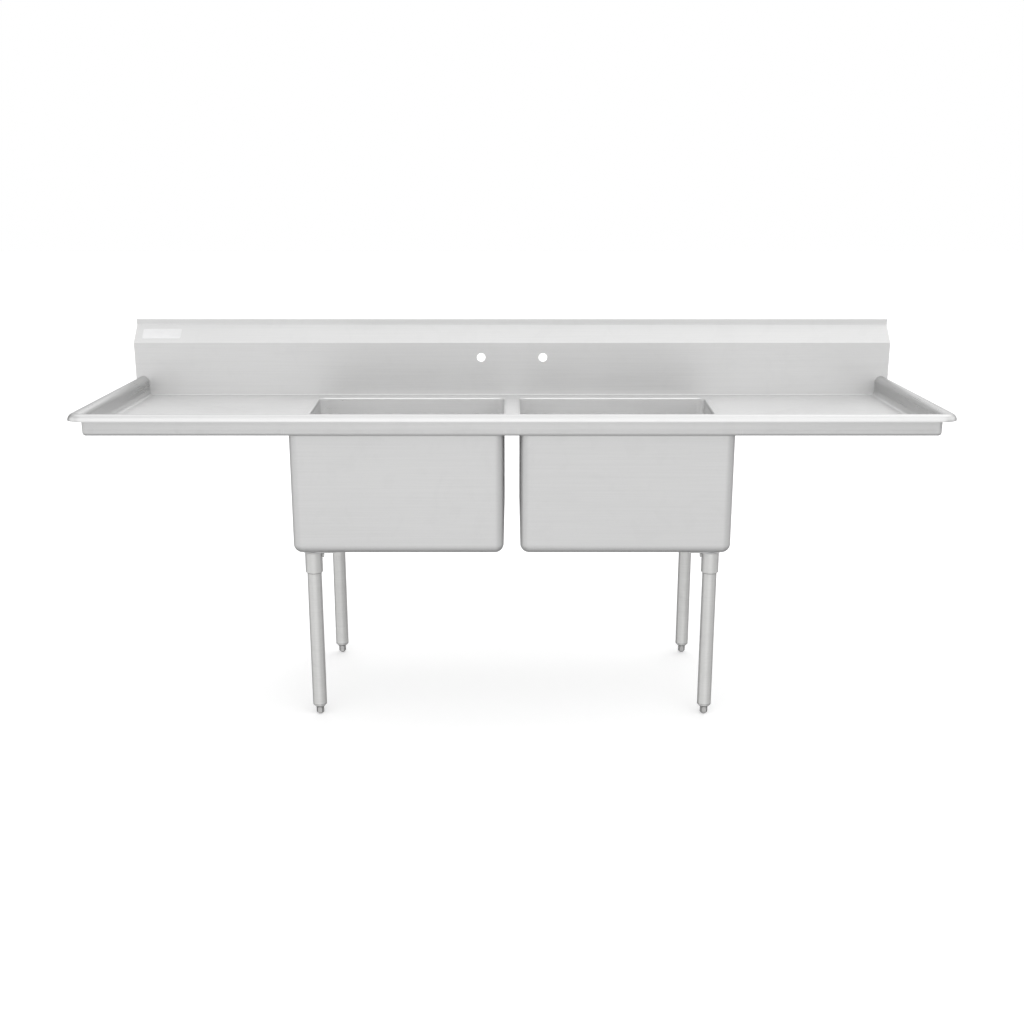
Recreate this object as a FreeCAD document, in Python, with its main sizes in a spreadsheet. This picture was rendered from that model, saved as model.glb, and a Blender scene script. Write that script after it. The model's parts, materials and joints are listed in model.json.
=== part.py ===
import FreeCAD, Part
import math
import os
import re

import Sketcher
from FreeCAD import Rotation, Vector

# Commercial sink of folded and welded stainless sheet: two bowls, a drainboard on each side, a
# backsplash with faucet holes, a rolled rim, four tube legs with screw feet, and two drains.
#
# Frame: +X along the backsplash, +Y towards the wall, +Z up, floor at Z = 0. Every formula below
# measures Y from the backsplash's front face, and each sub-part's Placement moves it by
# splash_offset, so that the origin ends up under the middle of the whole sink.

# Driving dimensions, in millimetres.
SIZES = {
    "gauge": 1.5,
    # gaps between pieces: pressed together, screwed together, and loose in a bore
    "touch_gap": 0.05,
    "thread_gap": 0.2,
    "bore_gap": 0.3,
    # how far a cut starts outside the metal
    "overcut": 1,
    # backsplash
    "splash_width": 2486,
    "splash_face": 174,
    "splash_slant": 52.5,
    "splash_lip": 20,
    "splash_return": 12,
    "splash_hem": 14,
    "splash_cove": 3.5,
    "splash_cove_flange": 12,
    "splash_bend": 2,
    "lip_bend": 1,
    "faucet_spacing": 203.2,
    "faucet_hole": 28.6,
    "faucet_height": 125.8,
    # tray: the deck, its walls and the rolled rim
    "deck_height": 862,
    "tray_width": 2402,
    "tray_depth": 675,
    "wall_height": 18,
    "wall_corner": 12,
    "deck_bend": 9,
    "roll_diameter": 38.1,
    "roll_height": 45,
    # bowls
    "bowl_width": 603,
    "bowl_length": 610,
    "bowl_depth": 348.5,
    "bowl_corner": 25.5,
    "bowl_ledge": 52,
    "bowl_edge_bend": 2.5,
    "divider_width": 50.8,
    "bridge_width": 40,
    "bowl_side_flange": 12,
    "edge_skirt": 12,
    # drainboards
    "drainboard_fall": 14.5,
    "slope_margin": 12,
    "channel_length": 300,
    "channel_width": 60,
    "channel_height": 24,
    "channel_flange": 16,
    # legs
    "leg_diameter": 41.3,
    "leg_across": 1154,
    "leg_front": 621,
    "leg_rear": 117,
    "leg_bottom": 34,
    "leg_wall": 1.5,
    "leg_top_gap": 5,
    "gusset_side": 90,
    "gusset_outset": 23,
    "gusset_thickness": 2.5,
    "gusset_chamfer": 30,
    "socket_diameter": 50,
    "socket_bore": 42,
    "socket_length": 64,
    "socket_bevel": 2.5,
    "screw_diameter": 8,
    "screw_drop": 11,
    "screw_head": 13,
    "screw_head_height": 4.5,
    "insert_flange": 9,
    "insert_height": 36,
    "insert_taper": 6,
    "insert_edge": 3,
    "stem_diameter": 16,
    "stem_clearance": 0.08,
    "stem_length": 71,
    "foot_across_flats": 20,
    "foot_pad": 6,
    "foot_gap": 0.4,
    # drains
    "drain_hole": 92,
    "drain_recess": 122,
    "drain_recess_depth": 3,
    "drain_flange": 114,
    "drain_cup": 86,
    "drain_cup_depth": 42,
    "drain_spigot": 44,
    "drain_spigot_length": 17,
    "drain_wall": 2,
    "drain_edge": 1.5,
    "drain_seat_depth": 6,
    "drain_cup_slope": 6,
    "drain_shoulder": 2.3,
    "spigot_wall": 2.5,
    "locknut_diameter": 108,
    "locknut_height": 10,
    "lug_depth": 6,
    "lug_width": 14,
    "gasket_diameter": 116,
    "gasket_thickness": 3,
    "washer_diameter": 114,
    "washer_thickness": 1,
    "tailpiece_diameter": 38.1,
    "tailpiece_wall": 1.2,
    "tailpiece_length": 16,
    "tailpiece_flange": 1.5,
    "tailpiece_neck": 3.5,
    "slip_nut_diameter": 55,
    "slip_nut_height": 17,
    "slip_nut_lip": 3,
    "slip_nut_chamfer": 2,
    "grip_diameter": 6,
    "basket_rim": 87,
    "basket_diameter": 74,
    "basket_depth": 32,
    "basket_wall": 1,
    "basket_hole": 5,
    "basket_corner": 4,
    "basket_flare": 4,
    "basket_lip": 1.5,
    "slot_width": 3,
    "slot_margin": 9,
    "knob_diameter": 22,
    "knob_stem": 8,
    "knob_rise": 4,
    "knob_edge": 3,
    "stopper_diameter": 36,
    "stopper_thickness": 3,
    # blank plate on the splash
    "plate_length": 126,
    "plate_width": 40,
    "plate_thickness": 0.5,
    "plate_centre": 1155,
}

# Sizes worked out from the driving ones. A formula may use any name above or below.
DERIVED = {
    "splash_offset": "(tray_depth + roll_diameter - splash_slant - gauge - splash_return) / 2",
    "deck_under": "deck_height - gauge",
    "wall_x": "tray_width / 2",
    "wall_out_x": "wall_x + gauge",
    "wall_out_y": "-tray_depth - gauge",
    "wall_top": "deck_height + wall_height",
    "roll_radius": "roll_diameter / 2",
    "roll_z": "deck_height + roll_height",
    "corner_x": "wall_out_x - wall_corner",
    "corner_y": "wall_out_y + wall_corner",
    "cove_radius": "deck_bend - gauge",
    "break_z": "deck_height + splash_face",
    "lip_z": "break_z + splash_slant",
    "splash_top": "lip_z + splash_lip",
    "bowl_in_x": "divider_width / 2",
    "bowl_out_x": "bowl_in_x + bowl_width",
    "bowl_back_y": "-bowl_ledge",
    "bowl_front_y": "-bowl_ledge - bowl_length",
    "bowl_x": "bowl_in_x + bowl_width / 2",
    "bowl_y": "-bowl_ledge - bowl_length / 2",
    "bowl_floor": "deck_height - bowl_depth",
    "bowl_bottom": "bowl_floor - gauge",
    "edge_radius": "bowl_edge_bend + gauge",
    "flange_x": "bowl_out_x + bowl_side_flange",
    "slope_in_x": "bowl_out_x + edge_radius",
    "slope_out_x": "wall_x - slope_margin",
    "edge_back_y": "bowl_back_y - bowl_corner + gauge",
    "edge_front_y": "bowl_front_y + bowl_corner - gauge",
    "gusset_z": "bowl_bottom - gusset_thickness",
    "screw_shank": "(socket_diameter - leg_diameter) / 2 + bore_gap",
    "recess_floor": "bowl_floor - drain_recess_depth",
    "recess_under": "recess_floor - gauge",
    "spigot_bottom": "recess_floor - drain_cup_depth - drain_spigot_length",
    "tailpiece_top": "spigot_bottom - tailpiece_flange",
}

# How many times a repeated feature of a drain occurs, and the strainer's rings of holes: how many
# holes in the ring, and the ring's radius as a share of the basket's.
LOCKNUT_LUGS = 6
SLIP_NUT_GRIPS = 8
STRAINER_SLOTS = 24
STRAINER_RINGS = ((6, 0.42), (12, 0.68))

# The least volume in cubic millimetres that a feature adds or cuts, and the distance in millimetres
# within which an edge or a face counts as lying on a plane.
LEAST_CHANGE = 1.0
ON_PLANE = 0.01

doc = FreeCAD.newDocument("Sink")
sheet = doc.addObject("Spreadsheet::Sheet", "Sizes")
for row, (alias, number) in enumerate(SIZES.items(), 1):
    sheet.set(f"A{row}", alias)
    sheet.set(f"B{row}", str(number))
    sheet.setAlias(f"B{row}", alias)
doc.recompute()

parts = []


# Formulas and bindings

def linked(formula):
    """The formula as an expression on the sheet: derived names opened up, cells referenced."""
    def reference(match):
        word = match.group(0)
        if word in DERIVED:
            return "(" + linked(DERIVED[word]) + ")"
        return "Sizes." + word if word in SIZES else word
    return re.sub(r"[a-z_]+", reference, str(formula))


def value(formula):
    return float(sheet.evalExpression(linked(formula)))


def bind(thing, **formulas):
    """Ties each named property to its formula."""
    for name, formula in formulas.items():
        thing.setExpression(name, linked(formula))


def place(thing, x="0", y="0", z="0", rotation=None):
    """Puts a finished sub-part at (x, y, z), with y measured from the splash's front face."""
    if rotation:
        thing.Placement = FreeCAD.Placement(Vector(), rotation)
    thing.setExpression("Placement.Base.x", linked(x))
    thing.setExpression("Placement.Base.y", linked(f"splash_offset + {y}"))
    thing.setExpression("Placement.Base.z", linked(z))


def finish(thing, label, x="0", y="0", z="0", rotation=None):
    """Labels and places a sub-part, and puts it on the list of those that are written."""
    place(thing, x, y, z, rotation)
    thing.Label = label
    parts.append(thing)
    return thing


def mirrored(source, label):
    """The same sub-part on the other side of the sink."""
    twin = doc.addObject("Part::Mirroring", label)
    twin.Source = source
    twin.Base = Vector(0, 0, 0)
    twin.Normal = Vector(1, 0, 0)
    twin.Label = label
    parts.append(twin)
    return twin


# Part Design helpers

def new_body(name):
    return doc.addObject("PartDesign::Body", name)


def new_sketch(body, name, role, offset="0"):
    plane = next(item for item in body.Origin.OriginFeatures if item.Role == role)
    sketch = body.newObject("Sketcher::SketchObject", name)
    sketch.AttachmentSupport = [(plane, "")]
    sketch.MapMode = "FlatFace"
    sketch.setExpression("AttachmentOffset.Base.z", linked(offset))
    return sketch


def pin_point(sketch, geometry, end, u, v):
    """Holds one point of a sketch at the formulas u and v from the sketch's origin."""
    for kind, formula in (("DistanceX", u), ("DistanceY", v)):
        index = sketch.addConstraint(
            Sketcher.Constraint(kind, -1, 1, geometry, end, value(formula)))
        name = f"{kind}_{geometry}_{end}"
        sketch.renameConstraint(index, name)
        sketch.setExpression(f"Constraints.{name}", linked(formula))


def draw_outline(sketch, corners):
    """A closed outline of straight lines through corners, each a pair of formulas."""
    points = [Vector(value(u), value(v), 0) for u, v in corners]
    count = len(points)
    for i in range(count):
        sketch.addGeometry(Part.LineSegment(points[i], points[(i + 1) % count]), False)
    for i in range(count):
        sketch.addConstraint(Sketcher.Constraint("Coincident", i, 2, (i + 1) % count, 1))
    for i, (u, v) in enumerate(corners):
        pin_point(sketch, i, 1, u, v)
    doc.recompute()


def draw_rectangle(sketch, u_low, v_low, u_high, v_high):
    draw_outline(sketch, [(u_low, v_low), (u_high, v_low), (u_high, v_high), (u_low, v_high)])


def draw_circle(sketch, u, v, diameter):
    index = sketch.addGeometry(
        Part.Circle(Vector(value(u), value(v), 0), Vector(0, 0, 1), value(diameter) / 2), False)
    pin_point(sketch, index, 3, u, v)
    sized = sketch.addConstraint(
        Sketcher.Constraint("Diameter", index, value(diameter)))
    name = f"Diameter_{index}"
    sketch.renameConstraint(sized, name)
    sketch.setExpression(f"Constraints.{name}", linked(diameter))
    doc.recompute()


def extrude(body, kind, sketch, length, reverse=False, middle=False):
    """A Pad or a Pocket of that length; it fails loudly if it changes nothing."""
    before = body.Shape.Volume if body.Tip else 0.0
    feature = body.newObject(f"PartDesign::{kind}", f"{kind}_{sketch.Name}")
    feature.Profile = sketch
    feature.SideType = "Symmetric" if middle else "One side"
    feature.Reversed = reverse
    bind(feature, Length=length)
    doc.recompute()
    change = abs(body.Shape.Volume - before)
    if change < LEAST_CHANGE:
        raise SystemExit(f"{feature.Name} changes nothing")
    return feature


def revolve(body, sketch, angle=360):
    """Turns the sketch about its own vertical axis."""
    feature = body.newObject("PartDesign::Revolution", f"Revolution_{sketch.Name}")
    feature.Profile = sketch
    feature.ReferenceAxis = (sketch, ["V_Axis"])
    feature.Angle = angle
    doc.recompute()
    return feature


def revolved(name, corners):
    """A body turned from one closed outline of radius and height."""
    body = new_body(name)
    section = new_sketch(body, f"{name}Section", "XZ_Plane")
    draw_outline(section, corners)
    revolve(body, section)
    return body


def pattern(body, feature, sketch, count):
    """Repeats a feature about the axis through the sketch's origin."""
    ring = body.newObject("PartDesign::PolarPattern", f"{feature.Name}_Ring")
    ring.Originals = [feature]
    ring.Axis = (sketch, ["N_Axis"])
    ring.Angle = 360
    ring.Occurrences = count
    body.Tip = ring
    doc.recompute()


def round_edges(body, name, base, test, radius):
    """A fillet of the base feature's edges that pass the test on their bounding boxes."""
    edges = [f"Edge{i}" for i, edge in enumerate(base.Shape.Edges, 1) if test(edge.BoundBox)]
    fillet = body.newObject("PartDesign::Fillet", name)
    fillet.Base = (base, edges)
    bind(fillet, Radius=radius)
    doc.recompute()
    return fillet


def fold_from_block(body, base, test):
    """Leaves only a sheet of the block: its skin, without the faces that pass the test."""
    faces = [f"Face{i}" for i, face in enumerate(base.Shape.Faces, 1) if test(face.BoundBox)]
    sheet_metal = body.newObject("PartDesign::Thickness", f"{body.Name}Sheet")
    sheet_metal.Base = (base, faces)
    sheet_metal.Mode = "Skin"
    sheet_metal.Join = "Arc"
    sheet_metal.Reversed = True
    bind(sheet_metal, Value="gauge")
    doc.recompute()
    return sheet_metal


def near(number, formula):
    return abs(number - value(formula)) < ON_PLANE


def flat_at_x(box, formula):
    return near(box.XMin, formula) and near(box.XMax, formula)


def flat_at_y(box, formula):
    return near(box.YMin, formula) and near(box.YMax, formula)


def flat_at_z(box, formula):
    return near(box.ZMin, formula) and near(box.ZMax, formula)


# Part primitives, in each sub-part's own local frame

def rod(name, diameter, z_low, height):
    solid = doc.addObject("Part::Cylinder", name)
    bind(solid, Radius=f"({diameter}) / 2", Height=height)
    solid.setExpression("Placement.Base.z", linked(z_low))
    doc.recompute()
    return solid


def boolean(kind, name, base, tool):
    result = doc.addObject(f"Part::{kind}", name)
    result.Base = base
    result.Tool = tool
    doc.recompute()
    return result


def pipe(name, outer, inner, z_low, height):
    """A tube about the local Z axis."""
    wall = rod(f"{name}Outside", outer, z_low, height)
    bore = rod(f"{name}Bore", inner, f"{z_low} - overcut", f"{height} + 2 * overcut")
    return boolean("Cut", name, wall, bore)


# Backsplash

def build_backsplash():
    """Upright face, 45 degree slant, lip, return and hem, coved forward into the deck."""
    body = new_body("Backsplash")
    # The back of a 45 degree bend is this much lower than its front.
    miter = "gauge * tan(22.5)"
    visible_side = [
        ("0", "deck_height + cove_radius"),
        ("0", "break_z"),
        ("splash_slant", "lip_z"),
        ("splash_slant", "splash_top"),
        ("splash_slant + gauge + splash_return", "splash_top"),
        ("splash_slant + gauge + splash_return", "splash_top - splash_hem"),
    ]
    back_side = [
        ("gauge", "deck_height + cove_radius"),
        ("gauge", f"break_z - {miter}"),
        ("splash_slant + gauge", f"lip_z - {miter}"),
        ("splash_slant + gauge", "splash_top - gauge"),
        ("splash_slant + splash_return", "splash_top - gauge"),
        ("splash_slant + splash_return", "splash_top - splash_hem"),
    ]
    profile = new_sketch(body, "SplashProfile", "YZ_Plane")
    draw_outline(profile, visible_side + back_side[::-1])
    extrude(body, "Pad", profile, "splash_width", middle=True)

    foot = new_sketch(body, "SplashFoot", "YZ_Plane")
    draw_outline(foot, [
        ("gauge", "deck_height + cove_radius"),
        ("gauge", "deck_under"),
        ("-splash_cove_flange", "deck_under"),
        ("-splash_cove_flange", "deck_height"),
        ("0", "deck_height"),
        ("0", "deck_height + cove_radius"),
    ])
    flange = extrude(body, "Pad", foot, "2 * (wall_x - cove_radius)", middle=True)

    bend_lines = (
        ("SplashCove", "0", "deck_height", "splash_cove"),
        ("SplashCoveBack", "gauge", "deck_under", "splash_cove + gauge"),
        ("SplashBreak", "0", "break_z", "splash_bend"),
        ("SplashBreakBack", "gauge", f"break_z - {miter}", "splash_bend + gauge"),
        ("SplashLipFoot", "splash_slant", "lip_z", "splash_bend + gauge"),
        ("SplashLipFootBack", "splash_slant + gauge", f"lip_z - {miter}", "splash_bend"),
        ("SplashLipTop", "splash_slant", "splash_top", "lip_bend + gauge"),
        ("SplashLipTopBack", "splash_slant + gauge", "splash_top - gauge", "lip_bend"),
        ("SplashHem", "splash_slant + gauge + splash_return", "splash_top", "lip_bend + gauge"),
        ("SplashHemBack", "splash_slant + splash_return", "splash_top - gauge", "lip_bend"),
    )
    base = flange
    for name, y, z, radius in bend_lines:
        base = round_edges(
            body, name, base,
            lambda edge: flat_at_y(edge, y) and flat_at_z(edge, z), radius)

    # Beyond the flange a round end closes the tray's corner, following the tray's side bend.
    ends = new_sketch(body, "SplashEnds", "XZ_Plane")
    for side in ("-", ""):
        draw_circle(ends, f"{side}(wall_x - cove_radius)", "deck_height + cove_radius",
                    "2 * deck_bend")
    extrude(body, "Pad", ends, "gauge", reverse=True)

    holes = new_sketch(body, "FaucetHoles", "XZ_Plane")
    for side in ("-", ""):
        draw_circle(holes, f"{side}faucet_spacing / 2", "deck_height + faucet_height",
                    "faucet_hole")
    extrude(body, "Pocket", holes, "4 * gauge", middle=True)
    return finish(body, "backsplash")


def build_label_plate():
    """Blank plate stuck on the slant, near its left end."""
    body = new_body("LabelPlate")
    outline = new_sketch(body, "PlateOutline", "XZ_Plane")
    draw_rectangle(outline, "-plate_length / 2", "-plate_width / 2",
                   "plate_length / 2", "plate_width / 2")
    extrude(body, "Pad", outline, "plate_thickness")
    finish(body, "label_plate", "-plate_centre", "splash_slant / 2",
           "break_z + splash_slant / 2", Rotation(Vector(1, 0, 0), -45))


# Bowls, bridge and drainboards: sheet folded up at the front and sides into a low wall

def add_deck_block(body, name, x_low, y_low, x_high, y_high):
    block = new_sketch(body, name, "XY_Plane", "deck_under")
    draw_rectangle(block, x_low, y_low, x_high, y_high)
    return extrude(body, "Pad", block, "wall_top - deck_under")


def front_bend(edge):
    return flat_at_y(edge, "wall_out_y") and flat_at_z(edge, "deck_under")


def build_bowl():
    """Right-hand bowl with its rear ledge, its flanges and its piece of the front apron."""
    body = new_body("Bowl")
    tub = new_sketch(body, "TubPlan", "XY_Plane", "bowl_bottom")
    draw_rectangle(tub, "bowl_in_x - gauge", "bowl_front_y - gauge",
                   "bowl_out_x + gauge", "bowl_back_y + gauge")
    extrude(body, "Pad", tub, "wall_top - bowl_bottom")
    block = add_deck_block(body, "LedgePlan", "bridge_width / 2", "wall_out_y",
                           "flange_x", "-splash_cove_flange")

    tub_edges = round_edges(
        body, "TubCorners", block,
        lambda edge: edge.ZMin < value("bowl_bottom + overcut")
        and edge.ZMax < value("deck_under + overcut"), "bowl_corner")
    opening = round_edges(
        body, "OpeningEdge", tub_edges,
        lambda edge: flat_at_z(edge, "deck_under")
        and edge.XMin > value("bridge_width / 2 + overcut")
        and edge.XMax < value("flange_x - overcut"), "bowl_edge_bend")
    apron = round_edges(body, "BowlApronBend", opening, front_bend, "deck_bend")

    recess = new_sketch(body, "DrainRecess", "XY_Plane", "recess_under")
    draw_circle(recess, "bowl_x", "bowl_y", "drain_recess")
    block = extrude(body, "Pad", recess, "drain_recess_depth")
    fold_from_block(
        body, block,
        lambda face: flat_at_z(face, "wall_top") or flat_at_x(face, "bridge_width / 2")
        or flat_at_x(face, "flange_x") or flat_at_y(face, "-splash_cove_flange"))

    hole = new_sketch(body, "DrainHole", "XY_Plane", "recess_floor + overcut")
    draw_circle(hole, "bowl_x", "bowl_y", "drain_hole")
    extrude(body, "Pocket", hole, "4 * gauge")

    # The side next to the drainboard is cut down in a shallow V, where the drainboard's fall ends.
    notch = new_sketch(body, "FallNotch", "YZ_Plane", "bowl_out_x - edge_radius")
    draw_outline(notch, [
        ("edge_back_y", "wall_top"),
        ("edge_back_y", "deck_height - edge_skirt"),
        ("bowl_y", "deck_height - edge_skirt - drainboard_fall"),
        ("edge_front_y", "deck_height - edge_skirt"),
        ("edge_front_y", "wall_top"),
    ])
    extrude(body, "Pocket", notch, "edge_radius + bowl_side_flange + overcut", reverse=True)
    return finish(body, "right_bowl")


def build_centre_bridge():
    """Strip between the bowls, folded up at the front like them."""
    body = new_body("CentreBridge")
    block = add_deck_block(body, "BridgePlan", "-bridge_width / 2", "wall_out_y",
                           "bridge_width / 2", "-splash_cove_flange")
    bend = round_edges(body, "BridgeApronBend", block, front_bend, "deck_bend")
    fold_from_block(
        body, bend,
        lambda face: flat_at_z(face, "wall_top") or flat_at_x(face, "-bridge_width / 2")
        or flat_at_x(face, "bridge_width / 2") or flat_at_y(face, "-splash_cove_flange"))
    return finish(body, "centre_bridge")


def creased_panels():
    """The flat facets of a drainboard's floor and its edge over the bowl, as one solid.

    Two creases run from the outer corners to the middle of the bowl's edge, the lowest point."""
    rim_points = [
        ("slope_in_x", "edge_back_y"),
        ("flange_x", "edge_back_y"),
        ("slope_out_x", "-slope_margin"),
        ("slope_out_x", "slope_margin - tray_depth"),
        ("flange_x", "edge_front_y"),
        ("slope_in_x", "edge_front_y"),
    ]
    level = [Vector(value(x), value(y), value("deck_height")) for x, y in rim_points]
    lowest = Vector(value("slope_in_x"), value("bowl_y"), value("deck_height - drainboard_fall"))
    down = Vector(0, 0, -value("gauge"))
    solids = []
    for first, second in zip(level, level[1:]):
        face = Part.Face(Part.makePolygon([lowest, first, second, lowest]))
        solids.append(face.extrude(down))
    solids += [edge_over_bowl(level[0], lowest), edge_over_bowl(lowest, level[-1])]
    return solids[0].multiFuse(solids[1:]).removeSplitter()


def edge_over_bowl(start, end):
    """The drainboard's rounded edge and skirt, along the straight line from start to end."""
    outer = value("edge_radius")
    inner = value("bowl_edge_bend")
    skirt = Vector(0, 0, -value("edge_skirt"))
    centre = start + Vector(0, 0, -outer)
    slant = math.sqrt(0.5)
    lower = start + skirt
    points = {
        "top": start,
        "face": centre + Vector(-outer, 0, 0),
        "face_end": lower + Vector(-outer, 0, 0),
        "back_end": lower + Vector(-inner, 0, 0),
        "back": centre + Vector(-inner, 0, 0),
        "under": centre + Vector(0, 0, inner),
    }
    outline = Part.Wire([
        Part.Arc(points["top"], centre + Vector(-outer, 0, outer) * slant,
                 points["face"]).toShape(),
        Part.LineSegment(points["face"], points["face_end"]).toShape(),
        Part.LineSegment(points["face_end"], points["back_end"]).toShape(),
        Part.LineSegment(points["back_end"], points["back"]).toShape(),
        Part.Arc(points["back"], centre + Vector(-inner, 0, inner) * slant,
                 points["under"]).toShape(),
        Part.LineSegment(points["under"], points["top"]).toShape(),
    ])
    return Part.Face(outline).extrude(end - start)


def build_drainboard():
    """Right-hand drainboard: tray floor folded up at the front and the side."""
    body = new_body("DrainboardTray")
    block = add_deck_block(body, "TrayPlan", "slope_in_x", "wall_out_y", "wall_out_x", "0")
    corner = round_edges(
        body, "TrayCorner", block,
        lambda edge: flat_at_x(edge, "wall_out_x") and flat_at_y(edge, "wall_out_y"),
        "wall_corner")
    bend = round_edges(
        body, "TrayBend", corner,
        lambda edge: flat_at_z(edge, "deck_under") and not flat_at_x(edge, "slope_in_x")
        and not flat_at_y(edge, "0"), "deck_bend")
    fold_from_block(
        body, bend,
        lambda face: flat_at_z(face, "wall_top") or flat_at_x(face, "slope_in_x")
        or flat_at_y(face, "0"))

    # Room for the splash's cove, for the bowl's flanges beside the fall, and for the creased floor.
    under_splash = new_sketch(body, "SplashRoom", "XY_Plane", "wall_top")
    draw_rectangle(under_splash, "slope_in_x - overcut", "-splash_cove_flange",
                   "wall_x - cove_radius", "overcut")
    extrude(body, "Pocket", under_splash, "wall_top - deck_under + overcut")
    for name, y_low, y_high in (("BackFlangeRoom", "edge_back_y", "overcut"),
                                ("FrontFlangeRoom", "wall_out_y - overcut", "edge_front_y")):
        room = new_sketch(body, name, "XY_Plane", "wall_top + overcut")
        draw_rectangle(room, "slope_in_x - overcut", y_low, "flange_x", y_high)
        extrude(body, "Pocket", room, "wall_top - deck_under + 2 * overcut")
    floor = new_sketch(body, "CreasedFloorRoom", "XY_Plane", "wall_top")
    draw_outline(floor, [
        ("slope_in_x - overcut", "edge_back_y"),
        ("flange_x", "edge_back_y"),
        ("slope_out_x", "-slope_margin"),
        ("slope_out_x", "slope_margin - tray_depth"),
        ("flange_x", "edge_front_y"),
        ("slope_in_x - overcut", "edge_front_y"),
    ])
    extrude(body, "Pocket", floor, "wall_top - deck_under + overcut")

    panels = doc.addObject("Part::Feature", "CreasedPanels")
    panels.Shape = creased_panels()
    whole = boolean("Fuse", "Drainboard", body, panels)
    return finish(whole, "right_drainboard")


def build_drainboard_channel():
    """Hat-shaped stiffener welded under the drainboard, between its two creases."""
    body = new_body("DrainboardChannel")
    half_crown = "channel_width / 2 - channel_flange"
    profile = new_sketch(body, "ChannelProfile", "XZ_Plane")
    draw_outline(profile, [
        ("-channel_width / 2", "0"),
        (f"-({half_crown})", "0"),
        (f"-({half_crown}) + gauge", "gauge - channel_height"),
        (f"{half_crown} - gauge", "gauge - channel_height"),
        (half_crown, "0"),
        ("channel_width / 2", "0"),
        ("channel_width / 2", "-gauge"),
        (f"{half_crown} + gauge", "-gauge"),
        (half_crown, "-channel_height"),
        (f"-({half_crown})", "-channel_height"),
        (f"-({half_crown}) - gauge", "-gauge"),
        ("-channel_width / 2", "-gauge"),
    ])
    extrude(body, "Pad", profile, "channel_length", middle=True)
    run = value("slope_out_x - slope_in_x")
    fall = math.degrees(math.atan2(value("drainboard_fall"), run))
    middle_x = "(slope_in_x + slope_out_x) / 2"
    between_creases_y = "(bowl_y - tray_depth / 2) / 2"
    return finish(body, "right_drainboard_channel", middle_x, between_creases_y,
                  "deck_under - drainboard_fall / 2", Rotation(Vector(0, 1, 0), -fall))


# Rolled rim: the wall's upper part, rolled outwards over half a circle

def draw_rim_section(sketch, wall_u, side):
    """Wall and roll. wall_u is the wall's inner face, and side is + or -, the way the roll goes."""
    centre_u = f"{wall_u} {side} roll_radius"
    centre = Vector(value(centre_u), value("roll_z"), 0)
    # An arc of a sketch runs anticlockwise, so the roll's wall end depends on the side.
    wall_end, tip_end = (2, 1) if side == "+" else (1, 2)

    def add_line(start, end):
        points = [Vector(value(u), value(v), 0) for u, v in (start, end)]
        return sketch.addGeometry(Part.LineSegment(*points), False)

    def add_arc(radius):
        circle = Part.Circle(centre, Vector(0, 0, 1), value(radius))
        return sketch.addGeometry(Part.ArcOfCircle(circle, 0, math.pi), False)

    def join(first, first_end, second, second_end):
        sketch.addConstraint(
            Sketcher.Constraint("Coincident", first, first_end, second, second_end))

    wall_out_u = f"{wall_u} {side} gauge"
    tip_u = f"{wall_u} {side} roll_diameter"
    inner_wall = add_line((wall_u, "wall_top"), (wall_u, "roll_z"))
    top = add_arc("roll_radius")
    tip = add_line((tip_u, "roll_z"), (f"{tip_u} {'-' if side == '+' else '+'} gauge", "roll_z"))
    under = add_arc("roll_radius - gauge")
    outer_wall = add_line((wall_out_u, "roll_z"), (wall_out_u, "wall_top"))
    foot = add_line((wall_out_u, "wall_top"), (wall_u, "wall_top"))
    join(inner_wall, 2, top, wall_end)
    join(top, tip_end, tip, 1)
    join(tip, 2, under, tip_end)
    join(under, wall_end, outer_wall, 1)
    join(outer_wall, 2, foot, 1)
    join(foot, 2, inner_wall, 1)
    join(top, 3, under, 3)
    pin_point(sketch, top, 3, centre_u, "roll_z")
    pin_point(sketch, inner_wall, 1, wall_u, "wall_top")
    pin_point(sketch, inner_wall, 2, wall_u, "roll_z")
    pin_point(sketch, outer_wall, 1, wall_out_u, "roll_z")
    pin_point(sketch, outer_wall, 2, wall_out_u, "wall_top")
    for end in (1, 2):
        sketch.addConstraint(Sketcher.Constraint("Horizontal", top, 3, tip, end))
    doc.recompute()


def build_rims():
    """Front and side rims, and the rounded corners between them."""
    front = new_body("FrontRim")
    section = new_sketch(front, "FrontRimSection", "YZ_Plane")
    draw_rim_section(section, "-tray_depth", "-")
    extrude(front, "Pad", section, "2 * corner_x", middle=True)
    finish(front, "front_rim")

    side = new_body("SideRim")
    section = new_sketch(side, "SideRimSection", "XZ_Plane")
    draw_rim_section(section, "wall_x", "+")
    extrude(side, "Pad", section, "-corner_y")
    finish(side, "right_rim")

    corner = new_body("RimCorner")
    section = new_sketch(corner, "CornerSection", "XZ_Plane")
    draw_rim_section(section, "wall_corner - gauge", "+")
    revolve(corner, section, angle=90)
    finish(corner, "right_rim_corner", "corner_x", "corner_y", "0", Rotation(Vector(0, 0, 1), -90))
    return side, corner


# Legs. Each leg's parts are built about its own axis, then placed, x pointing to the sink's middle

LEGS = {
    "front_left": ("-leg_across / 2", "-leg_front", 0),
    "front_right": ("leg_across / 2", "-leg_front", 90),
    "rear_right": ("leg_across / 2", "-leg_rear", 180),
    "rear_left": ("-leg_across / 2", "-leg_rear", 270),
}


def build_gusset(name):
    """Plate under the bowl's bottom, spread towards the middle of the bowl, far corner cut off."""
    body = new_body(f"Gusset_{name}")
    plan = new_sketch(body, f"GussetPlan_{name}", "XY_Plane")
    inset = "gusset_side - gusset_outset"
    draw_outline(plan, [
        ("-gusset_outset", "-gusset_outset"),
        (inset, "-gusset_outset"),
        (inset, f"{inset} - gusset_chamfer"),
        (f"{inset} - gusset_chamfer", inset),
        ("-gusset_outset", inset),
    ])
    extrude(body, "Pad", plan, "gusset_thickness")
    return body


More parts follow.
